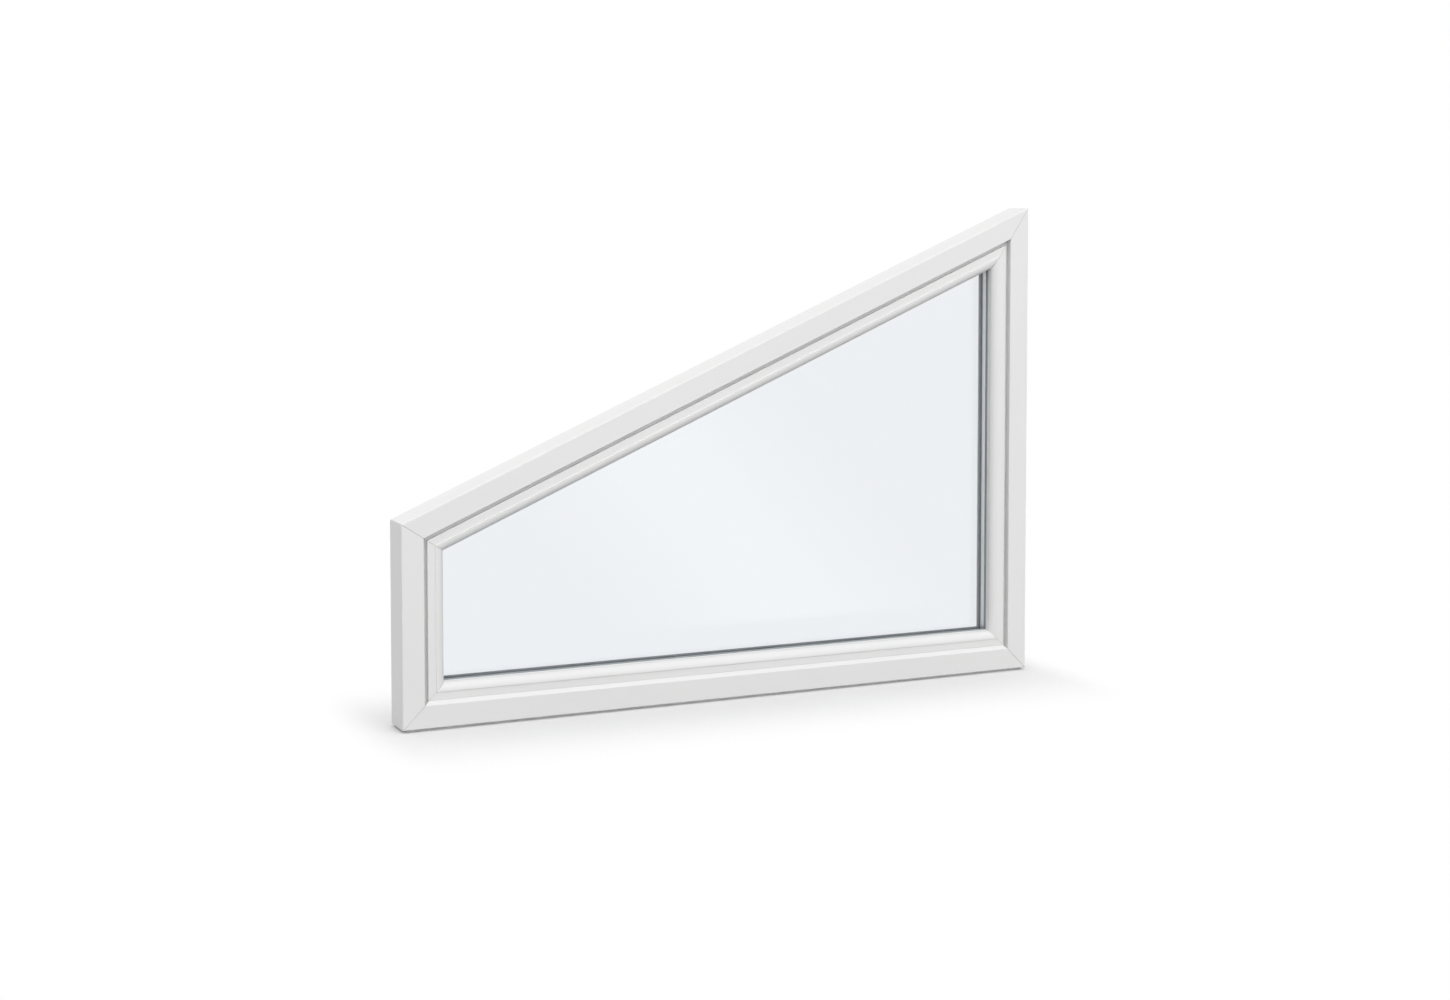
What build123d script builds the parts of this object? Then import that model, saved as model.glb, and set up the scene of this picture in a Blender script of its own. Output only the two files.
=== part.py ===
# Trapezoid fixed window in white PVC-U: a raked head between a short left jamb and a tall right jamb.
# Four hollow frame profiles are mitred and welded. A sealed double-glazed unit stands in their rebate
# on plastic blocks, against gaskets on a fixed back leg, and moulded glazing beads clip in at the front.
# The sill sheds water over a sloped ledge and stands on a low foot, set back under the frame's edges.
# Millimetres. X runs along the sill to the right, Y from the front to the back, Z up.
# The origin is the middle of the foot's underside, at half the frame's depth.

from build123d import *
import os

# Overall outline, over the outer edges of the frame
width = 1250.0
short_height = 355.0
tall_height = 895.0

# Depths, one behind the other from the frame's front face to its back face
bead_recess = 4.5
bead_thickness = 15.5
front_gasket_thickness = 7.0
pane_thickness = 4.0
cavity_depth = 16.0
back_gasket_thickness = 4.0
leg_thickness = 15.0

# Widths across a frame member, inwards from its outer edge
face_width = 40.0
shadow_gap = 7.2
bead_width = 30.8
shoulder_width = 13.0
edge_clearance = 6.0
seal_height = 8.0
spacer_height = 8.0

# Frame profile: walls, chambers, edges and the bevelled back leg
frame_wall = 2.8
outer_edge_radius = 2.5
inner_edge_radius = 1.5
leg_tip = 3.0
bevel_drop = 13.0

# Glazing bead: flange, flat band and raised round of its moulding, and the foot that clips in
flange_thickness = 8.0
bead_flat = 13.8
moulding_rise = 1.5
bead_wall = 1.8
bead_edge_radius = 1.0
clip_slot_width = 3.2
clip_slot_depth = 5.0
clip_clearance = 0.4

# Gaskets, spacer bar and glazing blocks
gasket_cover = 9.0
gasket_projection = 1.0
gasket_nose_radius = 1.6
nose_share = 0.45
spacer_wall = 0.8
block_length = 100.0
block_overhang = 1.0
block_inset = 140.0

# Foot under the sill, and drain slots through the sill's back
foot_height = 4.0
foot_setback = 10.0
drain_length = 26.0
drain_height = 5.0
drain_level = 14.0
drain_inset = 230.0

# Depths from the front face
shoulder = bead_recess + flange_thickness
bead_back = bead_recess + bead_thickness
glass_front = bead_back + front_gasket_thickness
cavity_front = glass_front + pane_thickness
cavity_back = cavity_front + cavity_depth
glass_back = cavity_back + pane_thickness
leg_front = glass_back + back_gasket_thickness
frame_depth = leg_front + leg_thickness

# Insets from the outer edge
bead_edge = face_width + shadow_gap
sight_line = bead_edge + bead_width
rebate_floor = face_width + shoulder_width
glass_edge = rebate_floor + edge_clearance
spacer_foot = glass_edge + seal_height
spacer_top = spacer_foot + spacer_height

BACK = Vector(0, 1, 0)
CORNERS = [
    Vector(-width / 2, 0, foot_height),
    Vector(width / 2, 0, foot_height),
    Vector(width / 2, 0, foot_height + tall_height),
    Vector(-width / 2, 0, foot_height + short_height),
]
SIDES = ["sill", "right_jamb", "raked_head", "left_jamb"]


# Sections across the members: inset from the outer edge, depth from the front face


def at(inset, depth):
    """Section point: the first axis runs inwards, the second towards the front, from half depth."""
    return (inset, frame_depth / 2 - depth)


def outline(*points):
    """Closed straight-sided section through the given inset and depth pairs."""
    return make_face(Polyline(*[at(*point) for point in points], close=True))


def block(inset_from, inset_to, depth_from, depth_to):
    """Rectangular section between two insets and two depths."""
    return outline(
        (inset_from, depth_from), (inset_to, depth_from), (inset_to, depth_to), (inset_from, depth_to)
    )


def rounded(section, radius, *points):
    """Section with the corners nearest the given points rounded."""
    corners = [section.vertices().sort_by_distance((*at(*point), 0))[0] for point in points]
    return fillet(corners, radius)


def frame_section(rebate_lip):
    """Chambered frame profile: flat front, the given lip to the shoulder, rebate, bevelled back leg."""
    bevel_foot = sight_line - bevel_drop
    profile = outline(
        (0, 0),
        (face_width, 0),
        *rebate_lip,
        (rebate_floor, shoulder),
        (rebate_floor, leg_front),
        (sight_line, leg_front),
        (sight_line, leg_front + leg_tip),
        (bevel_foot, frame_depth),
        (0, frame_depth),
    )
    profile = rounded(profile, outer_edge_radius, (0, 0), (0, frame_depth))
    profile = rounded(profile, inner_edge_radius, (face_width, 0), (bevel_foot, frame_depth))
    slot_front, slot_back = clip_slot()
    profile -= block(rebate_floor - clip_slot_depth, sight_line, slot_front, slot_back)
    leg = outline(
        (0, leg_front),
        (sight_line, leg_front),
        (sight_line, leg_front + leg_tip),
        (bevel_foot, frame_depth),
        (0, frame_depth),
    )
    profile -= block(frame_wall, face_width - frame_wall, frame_wall, slot_back)
    profile -= block(frame_wall, rebate_floor - frame_wall, slot_back + frame_wall, leg_front)
    profile -= offset(leg, amount=-frame_wall, kind=Kind.INTERSECTION)
    return profile


def clip_slot():
    """Front and back of the slot in the rebate floor, midway along the bead's side, for its foot."""
    middle = (shoulder + bead_back) / 2
    return middle - clip_slot_width / 2, middle + clip_slot_width / 2


def bead_section():
    """Hollow glazing bead: flat band and raised round in front, flange on the shoulder, foot in the slot."""
    flat_end = bead_edge + bead_flat
    round_front = bead_recess - moulding_rise
    round_end = at(sight_line, bead_back)
    band_end = at(flat_end, bead_recess)
    sides = Polyline(
        round_end,
        at(rebate_floor, bead_back),
        at(rebate_floor, shoulder),
        at(bead_edge, shoulder),
        at(bead_edge, bead_recess),
        band_end,
    )
    core = make_face(sides + TangentArc(band_end, round_end, tangent=(1, 0)))
    round_start = at(flat_end, round_front)
    ridge_sides = Polyline(round_end, at(flat_end, bead_back), round_start)
    ridge = make_face(ridge_sides + TangentArc(round_start, round_end, tangent=(1, 0)))
    body = rounded(core + ridge, bead_edge_radius, (bead_edge, bead_recess))
    body = rounded(body, min(bead_edge_radius, moulding_rise / 2), (flat_end, round_front))
    slot_front, slot_back = clip_slot()
    foot = block(
        rebate_floor - clip_slot_depth + clip_clearance,
        rebate_floor,
        slot_front + clip_clearance,
        slot_back - clip_clearance,
    )
    return body + foot - offset(core, amount=-bead_wall, kind=Kind.INTERSECTION)


def gasket_section(depth_from, depth_to):
    """Rubber strip between a support and the glass, with a rounded nose just past the sight line."""
    nose = sight_line + gasket_projection
    strip = block(sight_line - gasket_cover, nose, depth_from, depth_to)
    radius = min(gasket_nose_radius, nose_share * (depth_to - depth_from))
    return rounded(strip, radius, (nose, depth_from), (nose, depth_to))


def spacer_section():
    """Hollow aluminium bar that holds the panes apart."""
    bar = block(spacer_foot, spacer_top, cavity_front, cavity_back)
    return bar - offset(bar, amount=-spacer_wall, kind=Kind.INTERSECTION)


# Members, mitred to the frame's outline


def side_frame(index):
    """Start corner, direction, inward normal and length of a side, round from the sill's left end."""
    start = CORNERS[index]
    run = CORNERS[(index + 1) % len(CORNERS)] - start
    direction = run.normalized()
    return start, direction, direction.cross(BACK), run.length


def mitre_plane(index):
    """Plane that halves the angle at the corner where a side starts, facing along that side."""
    inward = side_frame(index)[2]
    inward_before = side_frame(index - 1)[2]
    return Plane(CORNERS[index], x_dir=BACK, z_dir=BACK.cross(inward_before + inward))


def mitred(section, index):
    """Length of a section along one side, left long by its width and cut at both ends on the mitre."""
    start, direction, inward, length = side_frame(index)
    plane = Plane(start - direction * sight_line, x_dir=inward, z_dir=direction)
    bar = extrude(plane * section, amount=length + 2 * sight_line)
    bar = split(bar, bisect_by=mitre_plane(index), keep=Keep.TOP)
    return split(bar, bisect_by=mitre_plane((index + 1) % len(SIDES)), keep=Keep.BOTTOM)


def mitred_set(name, section):
    """The four lengths of one section, one for each side of the window."""
    return {f"{name}_{side}": mitred(section, index) for index, side in enumerate(SIDES)}


# Sheets and blocks


def sheet(inset, depth_from, depth_to):
    """Plate of the window's outline, taken in from its outer edge, between two depths."""
    front = frame_depth / 2
    plane = Plane(origin=(0, depth_to - front, 0), x_dir=(1, 0, 0), z_dir=-BACK)
    trapezoid = make_face(Polyline(*[(corner.X, corner.Z) for corner in CORNERS], close=True))
    inner = offset(trapezoid, amount=-inset, kind=Kind.INTERSECTION)
    return extrude(plane * inner, amount=depth_to - depth_from)


def glazing_block(index, distance):
    """Block on a side's rebate floor under the glass edge, centred at a distance from its start."""
    start, direction, inward, _ = side_frame(index)
    base = start + direction * (distance - block_length / 2)
    seat = block(rebate_floor, glass_edge, glass_front - block_overhang, glass_back + block_overhang)
    return extrude(Plane(base, x_dir=inward, z_dir=direction) * seat, amount=block_length)


def drain_slots():
    """Two slots through the back wall of the sill into its drainage chamber."""
    plane = Plane(origin=(0, frame_depth / 2, foot_height + drain_level), x_dir=(-1, 0, 0), z_dir=BACK)
    offset_from_middle = width / 2 - drain_inset
    slot = SlotOverall(drain_length, drain_height)
    slots = Pos(-offset_from_middle, 0) * slot + Pos(offset_from_middle, 0) * slot
    return extrude(plane * slots, amount=-2 * frame_wall)


def foot():
    """Low strip under the sill on which the window stands, set back from the frame's edges all round."""
    strip = Box(width - 2 * foot_setback, frame_depth - 2 * foot_setback, foot_height)
    return Pos(0, 0, foot_height / 2) * strip


def frame():
    """Four welded frame members. Jambs and head have a shadow gap at the bead, the sill a sloped ledge."""
    square_lip = [(face_width, shoulder)]
    sloped_ledge = [(bead_edge, bead_recess), (bead_edge, shoulder)]
    members = mitred_set("frame", frame_section(square_lip))
    sill = mitred(frame_section(sloped_ledge), SIDES.index("sill"))
    members["frame_sill"] = sill - drain_slots() + foot()
    return members


def glazing_unit():
    """Two panes, the spacer bars between them and the sealant round the edge."""
    unit = mitred_set("spacer", spacer_section())
    unit["front_pane"] = sheet(glass_edge, glass_front, cavity_front)
    unit["back_pane"] = sheet(glass_edge, cavity_back, glass_back)
    unit["edge_seal"] = sheet(glass_edge, cavity_front, cavity_back) - sheet(
        spacer_foot, cavity_front, cavity_back
    )
    return unit


def glazing_blocks():
    """Two blocks carry the unit on the sill, and one at each jamb keeps it in place."""
    _, _, _, tall_run = side_frame(SIDES.index("right_jamb"))
    _, _, _, short_run = side_frame(SIDES.index("left_jamb"))
    return {
        "setting_block_left": glazing_block(SIDES.index("sill"), glass_edge + block_inset),
        "setting_block_right": glazing_block(SIDES.index("sill"), width - glass_edge - block_inset),
        "jamb_block_right": glazing_block(SIDES.index("right_jamb"), tall_run / 2),
        "jamb_block_left": glazing_block(SIDES.index("left_jamb"), short_run / 2),
    }


def window():
    """Every piece of the window by its node name."""
    return {
        **frame(),
        **mitred_set("bead", bead_section()),
        **mitred_set("front_gasket", gasket_section(bead_back, glass_front)),
        **mitred_set("back_gasket", gasket_section(glass_back, leg_front)),
        **glazing_unit(),
        **glazing_blocks(),
    }


os.makedirs("parts", exist_ok=True)
for node, piece in window().items():
    export_step(piece, f"parts/{node}.step")
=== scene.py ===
import math
import bpy
import numpy as np
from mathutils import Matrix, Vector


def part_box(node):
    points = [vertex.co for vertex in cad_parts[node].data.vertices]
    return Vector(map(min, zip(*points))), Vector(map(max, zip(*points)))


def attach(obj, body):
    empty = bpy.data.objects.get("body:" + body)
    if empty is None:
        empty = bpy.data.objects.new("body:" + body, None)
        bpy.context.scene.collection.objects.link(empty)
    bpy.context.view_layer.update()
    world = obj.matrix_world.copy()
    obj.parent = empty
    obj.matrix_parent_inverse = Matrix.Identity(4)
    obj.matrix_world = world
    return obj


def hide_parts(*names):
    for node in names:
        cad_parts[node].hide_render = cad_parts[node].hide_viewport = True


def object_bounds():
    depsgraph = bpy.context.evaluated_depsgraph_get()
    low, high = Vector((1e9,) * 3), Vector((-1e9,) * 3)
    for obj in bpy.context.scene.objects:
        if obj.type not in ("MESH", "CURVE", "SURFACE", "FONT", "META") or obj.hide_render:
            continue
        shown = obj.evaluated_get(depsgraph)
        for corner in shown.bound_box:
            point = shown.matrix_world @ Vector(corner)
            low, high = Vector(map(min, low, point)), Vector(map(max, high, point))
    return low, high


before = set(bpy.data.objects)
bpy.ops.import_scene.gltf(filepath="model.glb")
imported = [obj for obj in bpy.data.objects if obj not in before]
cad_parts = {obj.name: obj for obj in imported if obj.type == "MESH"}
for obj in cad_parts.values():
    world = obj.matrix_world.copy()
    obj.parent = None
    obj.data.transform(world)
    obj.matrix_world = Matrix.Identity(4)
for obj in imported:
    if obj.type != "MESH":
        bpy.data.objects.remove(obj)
cad_low, cad_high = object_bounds()


# Window frame
# Four lengths of white PVC-U, extruded, mitred to the window's outline and fused at the corners by heat.
# The weld is trimmed back to a fine groove. The sill has a sloped ledge in place of the gap at the bead,
# stands on a low foot and drains through two slots behind.

mm = 0.001
left = cad_low.x
front, back = cad_low.y, cad_high.y
foot_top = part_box("frame_left_jamb")[0].z
short_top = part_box("frame_left_jamb")[1].z
bead_low, bead_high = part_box("bead_left_jamb")
bead_edge = bead_low.x - left
sight_line = bead_high.x - left
rebate_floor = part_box("jamb_block_left")[0].x - left
leg_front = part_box("back_gasket_left_jamb")[1].y
face_width = 40 * mm
bead_thickness = 15.5 * mm
bead_land = bead_high.y - bead_thickness
shoulder_drop = 8 * mm
shoulder = bead_land + shoulder_drop
leg_tip = 3 * mm
bevel_drop = 13 * mm
outer_edge_radius = 2.5 * mm
inner_edge_radius = 1.5 * mm
arris_radius = 0.4 * mm
clip_slot_width = 3.2 * mm
clip_slot_depth = 5 * mm
clip_slot_middle = (bead_high.y + shoulder) / 2
clip_slot = clip_slot_middle - clip_slot_width / 2, clip_slot_middle + clip_slot_width / 2
clip_slot_floor = rebate_floor - clip_slot_depth
weld_groove_width = 0.9 * mm
weld_groove_depth = 0.55 * mm
foot_setback = 10 * mm
drain_length = 26 * mm
drain_height = 5 * mm
drain_rise = 14 * mm
drain_from_end = 230 * mm
drain_depth = 12 * mm
drain_points = 48
overlap = 1 * mm
sharp_angle = math.radians(32)

corners = np.array(
    [
        (left, 0, foot_top),
        (cad_high.x, 0, foot_top),
        (cad_high.x, 0, cad_high.z),
        (left, 0, short_top),
    ]
)
side_names = "sill", "right_jamb", "raked_head", "left_jamb"


def unit(vectors):
    """Vectors divided by their lengths."""
    return vectors / np.linalg.norm(vectors, axis=-1, keepdims=True)


def rounded_outline(corner_rows, steps=8):
    """Closed outline with rounded corners, from rows of inset, depth and radius.

    An arc's centre lies on its corner's bisector, at the radius over the sine of half the angle. The arc
    turns from the first tangent point to the last by weights sin((1 - t) turn) and sin(t turn) over
    sin(turn).
    """
    rows = np.array(corner_rows)
    point, radius = rows[:, :2], rows[:, 2:]
    behind = unit(np.roll(point, 1, axis=0) - point)
    ahead = unit(np.roll(point, -1, axis=0) - point)
    half = np.arccos(np.sum(behind * ahead, axis=1, keepdims=True)) / 2
    centre = point + unit(behind + ahead) * radius / np.sin(half)
    first = point + behind * radius / np.tan(half) - centre
    last = point + ahead * radius / np.tan(half) - centre
    turn = (np.pi - 2 * half)[:, None]
    share = np.linspace(0, 1, steps + 1)[None, :, None]
    arc = np.sin((1 - share) * turn) * first[:, None] + np.sin(share * turn) * last[:, None]
    return (centre[:, None] + arc / np.sin(turn)).reshape(-1, 2)


def half_angle_cotangent(corner, one, other):
    """Cotangent of half a corner's angle: one plus the cosine, over the sine."""
    cosine = np.dot(unit(one - corner), unit(other - corner))
    return (1 + cosine) / math.sqrt(1 - cosine**2)


def mitred_bar(name, outline, index, groove_width, groove_depth, joint_gap, finish):
    """Bar with an outline carried along one side of the window and cut on the mitres at both corners.

    On the ring at a distance t from a mitre, a point of inset u lies u times the cotangent of half the
    corner's angle, plus t, along the side. Of the four rings, the two at the ends are drawn in by the
    groove's depth, and caps close them.
    """
    before, start, end, after = corners[[index - 1, index, (index + 1) % 4, (index + 2) % 4]]
    length = np.linalg.norm(end - start)
    along = (end - start) / length
    inward = np.cross(along, (0, 1, 0))
    lead = half_angle_cotangent(start, before, end)
    tail = half_angle_cotangent(end, start, after)

    tangent = np.roll(outline, -1, axis=0) - np.roll(outline, 1, axis=0)
    drawn_in = outline + unit(np.column_stack((-tangent[:, 1], tangent[:, 0]))) * groove_depth
    rings = np.stack((drawn_in, outline, outline, drawn_in))
    inset, depth = rings[..., 0], rings[..., 1]
    distance = np.array([[joint_gap], [joint_gap + groove_width]])
    travel = np.vstack((inset[:2] * lead + distance, length - inset[2:] * tail - distance[::-1]))
    place = start + along * travel[..., None] + inward * inset[..., None]
    place[..., 1] = depth

    count = len(outline)
    ring, step = (grid.ravel() for grid in np.meshgrid(np.arange(3), np.arange(count), indexing="ij"))
    after_step = (step + 1) % count
    here, next_ring = ring * count, (ring + 1) * count
    quads = np.column_stack((here + step, next_ring + step, next_ring + after_step, here + after_step))
    caps = [np.arange(count).tolist(), (3 * count + np.arange(count)[::-1]).tolist()]

    reach = np.append(0, np.cumsum(np.linalg.norm(np.roll(outline, -1, axis=0) - outline, axis=1)))
    across = np.column_stack((reach[step], reach[step], reach[step + 1], reach[step + 1]))
    run = np.stack((across, travel.ravel()[quads]), axis=-1).reshape(-1, 2)
    flat_map = np.vstack((run, outline, outline[::-1]))

    mesh = bpy.data.meshes.new(name)
    mesh.from_pydata(place.reshape(-1, 3).tolist(), [], quads.tolist() + caps)
    mesh.uv_layers.new(name="run").data.foreach_set("uv", flat_map.ravel())
    seam = np.append(np.repeat((1.0, 0.0, 0.0, 1.0), count)[quads], np.zeros(2 * count))
    mesh.attributes.new("seam", "FLOAT", "CORNER").data.foreach_set("value", seam)
    mesh.materials.append(finish)
    mesh.shade_smooth()
    mesh.set_sharp_from_angle(angle=sharp_angle)
    bar = bpy.data.objects.new(name, mesh)
    bpy.context.scene.collection.objects.link(bar)
    even = bar.modifiers.new("even_flats", "WEIGHTED_NORMAL")
    even.weight = 100
    even.keep_sharp = True
    return bar


class Wire:
    """One output of a finish's nodes. Python's operators on it add Math nodes, so it reads as maths."""

    def __init__(self, socket):
        self.socket = socket

    @staticmethod
    def node(tree, kind, settings, sockets, output=0):
        """Any node: its settings first, then each socket's value or link. Returns one of its outputs."""
        made = tree.nodes.new(kind)
        for name, value in settings.items():
            setattr(made, name, value)
        for name, value in sockets.items():
            if isinstance(value, Wire):
                tree.links.new(value.socket, made.inputs[name])
            else:
                made.inputs[name].default_value = value
        return Wire(made.outputs[output]) if made.outputs else None

    def math(self, operation, first, second):
        """Math node on two values."""
        tree = self.socket.id_data
        return Wire.node(tree, "ShaderNodeMath", {"operation": operation}, {0: first, 1: second})

    def __add__(self, other):
        return self.math("ADD", self, other)

    def __sub__(self, other):
        return self.math("SUBTRACT", self, other)

    def __rsub__(self, other):
        return self.math("SUBTRACT", other, self)

    def __mul__(self, other):
        return self.math("MULTIPLY", self, other)

    def __or__(self, other):
        return self.math("MAXIMUM", self, other)

    def __and__(self, other):
        return self.math("MINIMUM", self, other)

    def __lt__(self, other):
        return self.math("LESS_THAN", self, other)

    def __abs__(self):
        return self.math("ABSOLUTE", self, 0)

    __radd__ = __add__
    __rmul__ = __mul__


def new_finish(name):
    """Material with an empty node tree."""
    material = bpy.data.materials.new(name)
    material.use_nodes = True
    material.node_tree.nodes.clear()
    return material, material.node_tree


def noise(tree, vector, scale, detail):
    """Noise from 0 to 1, with the scale as waves to the metre and the detail as finer octaves."""
    return Wire.node(tree, "ShaderNodeTexNoise", {}, {"Vector": vector, "Scale": scale, "Detail": detail})


def blend(tree, share, first, second):
    """Colour that goes from the first to the second by a share."""
    factor, colour_a, colour_b, colour_out = 0, 6, 7, 2
    sockets = {factor: share, colour_a: first, colour_b: second}
    return Wire.node(tree, "ShaderNodeMix", {"data_type": "RGBA"}, sockets, colour_out)


def white_pvc():
    """Satin white PVC-U with die lines along it, faint clouds, painted shade in the gap and greyer welds.
    """
    white = 0.86, 0.86, 0.855, 1
    cloud_white = 0.84, 0.842, 0.84, 1
    gap_shade_grey = 0.75, 0.75, 0.745, 1
    weld_grey = 0.45, 0.45, 0.45, 1
    die_stretch = 1, 0.004, 1
    material, tree = new_finish("white_pvc")
    run = Wire.node(tree, "ShaderNodeUVMap", {"uv_map": "run"}, {})
    drawn = Wire.node(tree, "ShaderNodeMapping", {}, {"Vector": run, "Scale": die_stretch})
    place = Wire.node(tree, "ShaderNodeTexCoord", {}, {}, output="Object")
    seam = Wire.node(tree, "ShaderNodeAttribute", {"attribute_name": "seam"}, {}, output="Fac")
    # Painted shade: the shoulder at the floor of the gap is greyed where shade falls in the groove.
    painted_light_share = Wire.node(tree, "ShaderNodeAttribute", {"attribute_name": "painted_light_share"}, {}, output="Fac")
    die_lines = noise(tree, drawn, scale=900, detail=3)
    cloud = noise(tree, place, scale=9, detail=3)
    skin = noise(tree, place, scale=700, detail=1)
    clean = blend(tree, cloud, white, cloud_white)
    colour = blend(tree, seam, blend(tree, painted_light_share, clean, gap_shade_grey), weld_grey)
    relief = die_lines * 0.7 + skin * 0.3
    bump = Wire.node(
        tree, "ShaderNodeBump", {}, {"Height": relief, "Strength": 0.15, "Distance": 0.02 * mm}
    )
    shader = Wire.node(
        tree,
        "ShaderNodeBsdfPrincipled",
        {},
        {"Base Color": colour, "Roughness": 0.3 + die_lines * 0.12, "IOR": 1.53, "Normal": bump},
    )
    Wire.node(tree, "ShaderNodeOutputMaterial", {}, {"Surface": shader})
    return material


def frame_outline(rebate_lip):
    """Outline of the frame profile with its own lip between the front face and the shoulder."""
    return rounded_outline(
        [
            (0, front, outer_edge_radius),
            (face_width, front, inner_edge_radius),
            *rebate_lip,
            (rebate_floor, shoulder, arris_radius),
            (rebate_floor, clip_slot[0], arris_radius),
            (clip_slot_floor, clip_slot[0], arris_radius),
            (clip_slot_floor, clip_slot[1], arris_radius),
            (rebate_floor, clip_slot[1], arris_radius),
            (rebate_floor, leg_front, arris_radius),
            (sight_line, leg_front, arris_radius),
            (sight_line, leg_front + leg_tip, arris_radius),
            (sight_line - bevel_drop, back, inner_edge_radius),
            (0, back, outer_edge_radius),
        ]
    )


def paint_gap_shade(bar, outline):
    """Painted shade in the gap: one where the outline is on the shoulder and nought elsewhere, on all four
    rings.
    """
    on_shoulder = np.abs(outline[:, 1] - shoulder) < 2 * arris_radius
    painted_light_share = np.tile(on_shoulder, 4).astype(float)
    bar.data.attributes.new("painted_light_share", "FLOAT", "POINT").data.foreach_set("value", painted_light_share)


def plain_solid(name, around, tops, finish):
    """Closed solid between two flat rings with as many points, joined point to point by walls."""
    count = len(around)
    points = np.vstack((around, tops))
    step = np.arange(count)
    ahead = (step + 1) % count
    walls = np.column_stack((step, ahead, ahead + count, step + count)).tolist()
    mesh = bpy.data.meshes.new(name)
    mesh.from_pydata(points.tolist(), [], walls + [step[::-1].tolist(), (step + count).tolist()])
    mesh.materials.append(finish)
    solid = bpy.data.objects.new(name, mesh)
    bpy.context.scene.collection.objects.link(solid)
    return solid


def cut_out(bar, cutter):
    """Bar with the cutter's shape taken out of its mesh. The cutter goes."""
    cut = bar.modifiers.new("cut", "BOOLEAN")
    cut.object = cutter
    cut.solver = "EXACT"
    result = bpy.data.meshes.new_from_object(bar.evaluated_get(bpy.context.evaluated_depsgraph_get()))
    bar.modifiers.remove(cut)
    bar.data = result
    bpy.data.objects.remove(cutter)


pvc = white_pvc()
square_lip = [(face_width, shoulder, arris_radius)]
sloped_ledge = [(bead_edge, bead_land, arris_radius), (bead_edge, shoulder, arris_radius)]
for index, side in enumerate(side_names):
    outline = frame_outline(sloped_ledge if side == "sill" else square_lip)
    bar = mitred_bar(f"{side}_profile", outline, index, weld_groove_width, weld_groove_depth, 0, pvc)
    # The shoulder in the frame's gap takes painted shade.
    paint_gap_shade(bar, outline)
    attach(bar, "root")
    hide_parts(f"frame_{side}")

turn = np.linspace(0, 2 * np.pi, drain_points, endpoint=False)
straight = np.sign(np.cos(turn)) * (drain_length - drain_height) / 2
drain_place = cad_high.x - drain_from_end
drain_level = foot_top + drain_rise
for place in -drain_place, drain_place:
    ring = np.column_stack(
        (
            place + straight + np.cos(turn) * drain_height / 2,
            np.full_like(turn, back + overlap),
            drain_level + np.sin(turn) * drain_height / 2,
        )
    )
    cutter = plain_solid("drain", ring, ring - (0, drain_depth + overlap, 0), pvc)
    cut_out(bpy.data.objects["sill_profile"], cutter)

foot_half = cad_high.x - foot_setback, back - foot_setback
foot_corners = np.array([(-1, -1), (1, -1), (1, 1), (-1, 1)]) * foot_half
foot_under = np.column_stack((foot_corners, np.zeros(4)))
foot = plain_solid("sill_foot", foot_under, foot_under + (0, 0, foot_top + overlap), pvc)
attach(foot, "root")
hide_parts("frame_sill")


# Back gaskets
# Strips of grey rubber along the back leg, mitred at the corners. The glass unit is pressed against them,
# and their rounded noses just show past the edge of the leg.

gasket_nose_radius = 1.6 * mm
gasket_heel_radius = 0.4 * mm
gasket_joint_gap = 0.05 * mm
contact_clearance = 0.05 * mm
gasket_end_round = 0.25 * mm


def glazing_rubber():
    """Matt grey rubber with a fine grain. What faces up is paler: a thin bloom of dust and a painted sheen.
    """
    grey = 0.29, 0.325, 0.338, 1
    sheen_and_dust_pale = 0.34, 0.376, 0.39, 1
    material, tree = new_finish("glazing_rubber")
    place = Wire.node(tree, "ShaderNodeTexCoord", {}, {}, output="Object")
    facing = Wire.node(tree, "ShaderNodeTexCoord", {}, {}, output="Normal")
    upward = Wire.node(tree, "ShaderNodeSeparateXYZ", {}, {0: facing}, output="Z") | 0
    grain = noise(tree, place, scale=1500, detail=2)
    # Painted sheen and dust: what faces up is paler.
    painted_light_share = upward * (0.7 + noise(tree, place, scale=40, detail=4) * 0.6)
    bump = Wire.node(tree, "ShaderNodeBump", {}, {"Height": grain, "Strength": 0.3, "Distance": 0.05 * mm})
    shader = Wire.node(
        tree,
        "ShaderNodeBsdfPrincipled",
        {},
        {"Base Color": blend(tree, painted_light_share, grey, sheen_and_dust_pale), "Roughness": 0.35 + grain * 0.2, "Normal": bump},
    )
    Wire.node(tree, "ShaderNodeOutputMaterial", {}, {"Surface": shader})
    return material


def gasket_outline(node):
    """Strip of one gasket's own inset and depth, a hair clear of what it touches, with a rounded nose."""
    low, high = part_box(node)
    near, far = low.y + contact_clearance, high.y - contact_clearance
    return rounded_outline(
        [
            (low.x - left, near, gasket_heel_radius),
            (high.x - left, near, gasket_nose_radius),
            (high.x - left, far, gasket_nose_radius),
            (low.x - left, far, gasket_heel_radius),
        ]
    )


rubber = glazing_rubber()
for index, side in enumerate(side_names):
    outline = gasket_outline("back_gasket_left_jamb")
    strip = mitred_bar(
        f"{side}_back_gasket", outline, index, gasket_end_round, gasket_end_round, gasket_joint_gap, rubber
    )
    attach(strip, "root")
    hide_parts(f"back_gasket_{side}")


# Glazing blocks
# Moulded plastic packers on the rebate floor. Two carry the glass unit on the sill and one at each jamb
# keeps it in the middle of the opening. The beads hide them.


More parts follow.
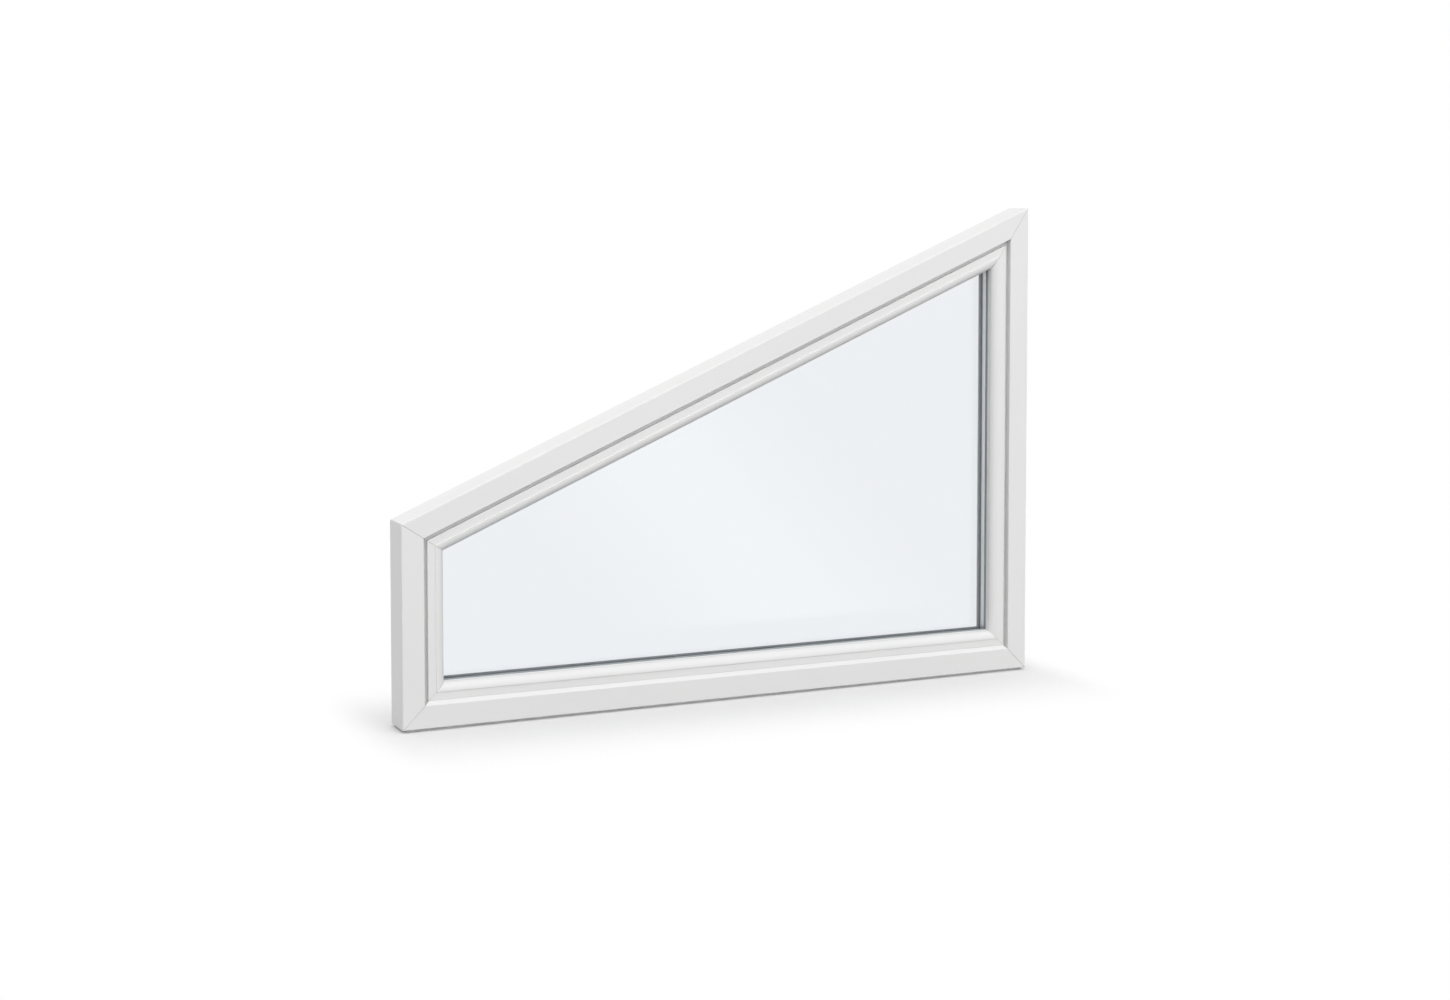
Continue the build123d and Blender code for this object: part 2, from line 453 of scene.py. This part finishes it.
def packer_plastic():
    """Dull blue moulded plastic with a slight mottle."""
    blue = 0.10, 0.18, 0.29, 1
    pale_blue = 0.14, 0.23, 0.34, 1
    material, tree = new_finish("packer_plastic")
    place = Wire.node(tree, "ShaderNodeTexCoord", {}, {}, output="Object")
    mottle = noise(tree, place, scale=120, detail=3)
    shader = Wire.node(
        tree,
        "ShaderNodeBsdfPrincipled",
        {},
        {"Base Color": blend(tree, mottle, blue, pale_blue), "Roughness": 0.45 + mottle * 0.2},
    )
    Wire.node(tree, "ShaderNodeOutputMaterial", {}, {"Surface": shader})
    return material


packer = packer_plastic()
for node in "setting_block_left", "setting_block_right", "jamb_block_left", "jamb_block_right":
    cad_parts[node].material_slots[0].material = packer


# Spacer bars
# Hollow bars of bare aluminium, rolled from strip, that hold the two panes apart. They show as a pale line
# between the two gaskets.

spacer_edge_radius = 0.9 * mm
spacer_joint_gap = 0.05 * mm
spacer_end_round = 0.1 * mm


def mill_aluminium():
    """Bare rolled aluminium with fine lines along the bar."""
    bright = 0.91, 0.915, 0.92, 1
    dull = 0.82, 0.83, 0.84, 1
    rolling_stretch = 1, 0.01, 1
    material, tree = new_finish("mill_aluminium")
    run = Wire.node(tree, "ShaderNodeUVMap", {"uv_map": "run"}, {})
    rolled = Wire.node(tree, "ShaderNodeMapping", {}, {"Vector": run, "Scale": rolling_stretch})
    lines = noise(tree, rolled, scale=1500, detail=3)
    bump = Wire.node(tree, "ShaderNodeBump", {}, {"Height": lines, "Strength": 0.3, "Distance": 0.02 * mm})
    shader = Wire.node(
        tree,
        "ShaderNodeBsdfPrincipled",
        {},
        {
            "Base Color": blend(tree, lines, bright, dull),
            "Metallic": 1.0,
            "Roughness": 0.35 + lines * 0.2,
            "Normal": bump,
        },
    )
    Wire.node(tree, "ShaderNodeOutputMaterial", {}, {"Surface": shader})
    return material


spacer_low, spacer_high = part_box("spacer_left_jamb")
spacer_outline = rounded_outline(
    [
        (spacer_low.x - left, spacer_low.y, spacer_edge_radius),
        (spacer_high.x - left, spacer_low.y, spacer_edge_radius),
        (spacer_high.x - left, spacer_high.y, spacer_edge_radius),
        (spacer_low.x - left, spacer_high.y, spacer_edge_radius),
    ]
)
aluminium = mill_aluminium()
for index, side in enumerate(side_names):
    bar = mitred_bar(
        f"{side}_spacer",
        spacer_outline,
        index,
        spacer_end_round,
        spacer_end_round,
        spacer_joint_gap,
        aluminium,
    )
    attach(bar, "root")
    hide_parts(f"spacer_{side}")


# Edge sealant
# Black sealant run into the groove behind the spacer bars, all round the glass unit. It bonds the panes and
# keeps moisture out.


def edge_sealant():
    """Dull black sealant with the ripples of a trowelled run."""
    black = 0.025, 0.025, 0.027, 1
    grey_black = 0.05, 0.05, 0.053, 1
    material, tree = new_finish("edge_sealant")
    place = Wire.node(tree, "ShaderNodeTexCoord", {}, {}, output="Object")
    ripple = noise(tree, place, scale=60, detail=3)
    bump = Wire.node(tree, "ShaderNodeBump", {}, {"Height": ripple, "Strength": 0.4, "Distance": 0.3 * mm})
    colour = blend(tree, ripple, black, grey_black)
    shader = Wire.node(
        tree,
        "ShaderNodeBsdfPrincipled",
        {},
        {"Base Color": colour, "Roughness": 0.5 + ripple * 0.2, "Normal": bump},
    )
    Wire.node(tree, "ShaderNodeOutputMaterial", {}, {"Surface": shader})
    return material


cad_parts["edge_seal"].material_slots[0].material = edge_sealant()


# Panes
# Two sheets of clear float glass, cut to the window's outline. They are very slightly wavy, and the pair
# has a cool pale tint.


def float_glass():
    """Clear glass with a faint cool tint and a slow waviness. The room's light passes straight through."""
    tint = 0.919, 0.931, 0.946, 1
    material, tree = new_finish("float_glass")
    place = Wire.node(tree, "ShaderNodeTexCoord", {}, {}, output="Object")
    wave = noise(tree, place, scale=4, detail=1)
    bump = Wire.node(tree, "ShaderNodeBump", {}, {"Height": wave, "Strength": 0.2, "Distance": 0.1 * mm})
    glass = Wire.node(
        tree,
        "ShaderNodeBsdfPrincipled",
        {},
        {"Base Color": tint, "Roughness": 0.0, "IOR": 1.5, "Transmission Weight": 1.0, "Normal": bump},
    )
    clear = Wire.node(tree, "ShaderNodeBsdfTransparent", {}, {"Color": tint})
    light_ray = Wire.node(tree, "ShaderNodeLightPath", {}, {}, output="Is Shadow Ray")
    shader = Wire.node(tree, "ShaderNodeMixShader", {}, {0: light_ray, 1: glass, 2: clear})
    Wire.node(tree, "ShaderNodeOutputMaterial", {}, {"Surface": shader})
    return material


glass = float_glass()
for node in "front_pane", "back_pane":
    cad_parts[node].material_slots[0].material = glass


# Front gaskets
# Rubber strips of the same kind between the beads and the glass. Their noses show as a dark line along the
# sill and the right jamb.

for index, side in enumerate(side_names):
    outline = gasket_outline("front_gasket_left_jamb")
    strip = mitred_bar(
        f"{side}_front_gasket", outline, index, gasket_end_round, gasket_end_round, gasket_joint_gap, rubber
    )
    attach(strip, "root")
    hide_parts(f"front_gasket_{side}")


# Glazing beads
# White PVC-U mouldings cut to length and pushed in last: a flat band, and a raised round that falls to the
# glass. A foot on the back clips into the slot of the frame.

bead_edge_radius = 1.0 * mm
bead_flat = 13.8 * mm
moulding_rise = 1.5 * mm
bead_round_radius = 16.0 * mm
clip_clearance = 0.4 * mm
bead_joint_gap = 0.08 * mm
bead_end_bevel = 0.3 * mm
bead_back_radius = 0.3 * mm
bead_fillet_radius = 0.2 * mm
clip_foot_radius = 0.5 * mm

flat_end = bead_edge + bead_flat
round_front = bead_land - moulding_rise
bead_outline = rounded_outline(
    [
        (bead_edge, bead_land, bead_edge_radius),
        (flat_end, bead_land, bead_fillet_radius),
        (flat_end, round_front, moulding_rise / 2),
        (sight_line, round_front, bead_round_radius),
        (sight_line, bead_high.y, bead_back_radius),
        (rebate_floor, bead_high.y, bead_back_radius),
        (rebate_floor, clip_slot[1] - clip_clearance, bead_fillet_radius),
        (clip_slot_floor + clip_clearance, clip_slot[1] - clip_clearance, clip_foot_radius),
        (clip_slot_floor + clip_clearance, clip_slot[0] + clip_clearance, clip_foot_radius),
        (rebate_floor, clip_slot[0] + clip_clearance, bead_fillet_radius),
        (rebate_floor, shoulder, bead_fillet_radius),
        (bead_edge, shoulder, bead_fillet_radius),
    ],
    steps=12,
)
for index, side in enumerate(side_names):
    bead = mitred_bar(
        f"{side}_bead", bead_outline, index, bead_end_bevel, bead_end_bevel, bead_joint_gap, pvc
    )
    # The bead's back on the shoulder takes the same painted shade.
    paint_gap_shade(bead, bead_outline)
    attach(bead, "root")
    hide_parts(f"bead_{side}")


# Floor
# Plain white studio floor. Round the window's foot it takes the soft shadow, and further off it fades into
# the white of the background.

floor_reach = 8.0
shadow_reach = -0.05, 0.36
end_falloff = 3.7
floor_seen = 0.855, 0.855, 0.858, 1
floor_bounce = 0.25, 0.25, 0.25, 1


def seen_ray(tree):
    """One for rays that show a picture: the camera's, mirrored or through glass, before a soft bounce."""
    camera, mirror, glass, bounces = (
        Wire.node(tree, "ShaderNodeLightPath", {}, {}, output=name)
        for name in ("Is Camera Ray", "Is Glossy Ray", "Is Transmission Ray", "Diffuse Depth")
    )
    return (camera | mirror | glass) * (bounces < 0.5)


def studio_floor():
    """Matt white that fades to the background's white by the distance from the window's foot.

    The distance is the length of what a place lies past the window's ends, counted for more, and before or
    behind it. For the light that it throws back the floor is darker.
    """
    material, tree = new_finish("studio_floor")
    place = Wire.node(tree, "ShaderNodeTexCoord", {}, {}, output="Object")
    sideways = Wire.node(tree, "ShaderNodeSeparateXYZ", {}, {0: place}, output="X")
    backwards = Wire.node(tree, "ShaderNodeSeparateXYZ", {}, {0: place}, output="Y")
    past_end = ((abs(sideways) - cad_high.x) | 0) * end_falloff
    offset = Wire.node(tree, "ShaderNodeCombineXYZ", {}, {0: past_end, 1: backwards})
    away = Wire.node(tree, "ShaderNodeVectorMath", {"operation": "LENGTH"}, {0: offset}, output="Value")
    far = Wire.node(
        tree,
        "ShaderNodeMapRange",
        {"interpolation_type": "SMOOTHSTEP"},
        {"Value": away, "From Min": shadow_reach[0], "From Max": shadow_reach[1]},
    )
    near = Wire.node(tree, "ShaderNodeBsdfDiffuse", {}, {"Color": floor_seen})
    white = Wire.node(tree, "ShaderNodeEmission", {}, {"Strength": 1.0})
    shown = Wire.node(tree, "ShaderNodeMixShader", {}, {0: far, 1: near, 2: white})
    thrown = Wire.node(tree, "ShaderNodeBsdfDiffuse", {}, {"Color": floor_bounce})
    shader = Wire.node(tree, "ShaderNodeMixShader", {}, {0: seen_ray(tree), 1: thrown, 2: shown})
    Wire.node(tree, "ShaderNodeOutputMaterial", {}, {"Surface": shader})
    return material


floor_mesh = bpy.data.meshes.new("studio_floor")
floor_corners = np.array([(-1, -1, 0), (1, -1, 0), (1, 1, 0), (-1, 1, 0)]) * floor_reach
floor_mesh.from_pydata(floor_corners.tolist(), [], [(0, 1, 2, 3)])
floor_mesh.materials.append(studio_floor())
floor = bpy.data.objects.new("studio_floor", floor_mesh)
bpy.context.scene.collection.objects.link(floor)


# Light
# A soft white room, brightest in front of the window, then behind it and overhead. A glowing card shows
# only as a soft slanting band on the glass.

room_even = 0.1
room_top = 0.58
room_front = 1.69
room_back = 0.9
card_distance = 0.6
card_left, card_right = -1.0, 1.5
card_foot, card_top = 0.001, 1.0
card_middle = 0.308, 0.173
card_slant = math.radians(40.8)
card_half_width = 0.35
card_glow = 0.33

world = bpy.data.worlds.new("studio")
bpy.context.scene.world = world
world.use_nodes = True
world.node_tree.nodes.clear()
direction = Wire.node(world.node_tree, "ShaderNodeTexCoord", {}, {}, output="Generated")
depth = Wire.node(world.node_tree, "ShaderNodeSeparateXYZ", {}, {0: direction}, output="Y")
height = Wire.node(world.node_tree, "ShaderNodeSeparateXYZ", {}, {0: direction}, output="Z")
before = room_front * ((0 - depth) | 0)
behind = room_back * (depth | 0)
room = room_even + room_top * (height | 0) + before + behind
ray = seen_ray(world.node_tree)
strength = room * (1 - ray) + ray
sky = Wire.node(world.node_tree, "ShaderNodeBackground", {}, {"Color": (1, 1, 1, 1), "Strength": strength})
Wire.node(world.node_tree, "ShaderNodeOutputWorld", {}, {"Surface": sky})


def glowing_card():
    """Clear sheet with a slanting band of light that fades smoothly with the distance from its middle.

    Only a mirrored ray takes up the glow, so the sheet doesn't show through the glass from behind.
    """
    material, tree = new_finish("glowing_card")
    place = Wire.node(tree, "ShaderNodeTexCoord", {}, {}, output="Object")
    across = math.cos(card_slant), 0, math.sin(card_slant)
    middle = card_middle[0] * across[0] + card_middle[1] * across[2]
    reach = Wire.node(
        tree, "ShaderNodeVectorMath", {"operation": "DOT_PRODUCT"}, {0: place, 1: across}, output="Value"
    )
    off_middle = abs(reach - middle)
    glow = Wire.node(
        tree,
        "ShaderNodeMapRange",
        {"interpolation_type": "SMOOTHSTEP"},
        {"Value": off_middle, "From Min": 0, "From Max": card_half_width, "To Min": card_glow, "To Max": 0},
    )
    clear = Wire.node(tree, "ShaderNodeBsdfTransparent", {}, {})
    mirrored = Wire.node(tree, "ShaderNodeLightPath", {}, {}, output="Glossy Depth")
    light = Wire.node(tree, "ShaderNodeEmission", {}, {"Strength": glow * (mirrored & 1)})
    shader = Wire.node(tree, "ShaderNodeAddShader", {}, {0: clear, 1: light})
    Wire.node(tree, "ShaderNodeOutputMaterial", {}, {"Surface": shader})
    return material


card_mesh = bpy.data.meshes.new("glowing_card")
card_place = front - card_distance
card_corners = [
    (card_left, card_place, card_foot),
    (card_right, card_place, card_foot),
    (card_right, card_place, card_top),
    (card_left, card_place, card_top),
]
card_mesh.from_pydata(card_corners, [], [(0, 1, 2, 3)])
card_mesh.materials.append(glowing_card())
card = bpy.data.objects.new("glowing_card", card_mesh)
bpy.context.scene.collection.objects.link(card)
card.visible_camera = False
card.visible_diffuse = False
card.visible_shadow = False


# Camera
# Stands to the left of the window and a little above it, as the photograph was taken. The lens is shifted,
# which puts the window where the picture has it.

camera_place = -1.6309, front - 3.4801, 0.8698
camera_dip = math.radians(3.164)
camera_turn = math.radians(24.839)

camera_data = bpy.data.cameras.new("camera")
camera_data.sensor_width = 36
camera_data.lens = 52.783
camera_data.shift_y = -0.11
camera = bpy.data.objects.new("camera", camera_data)
bpy.context.scene.collection.objects.link(camera)
camera.location = camera_place
camera.rotation_euler = math.radians(90) - camera_dip, 0, -camera_turn
bpy.context.scene.camera = camera
bpy.context.scene.view_settings.view_transform = "Standard"
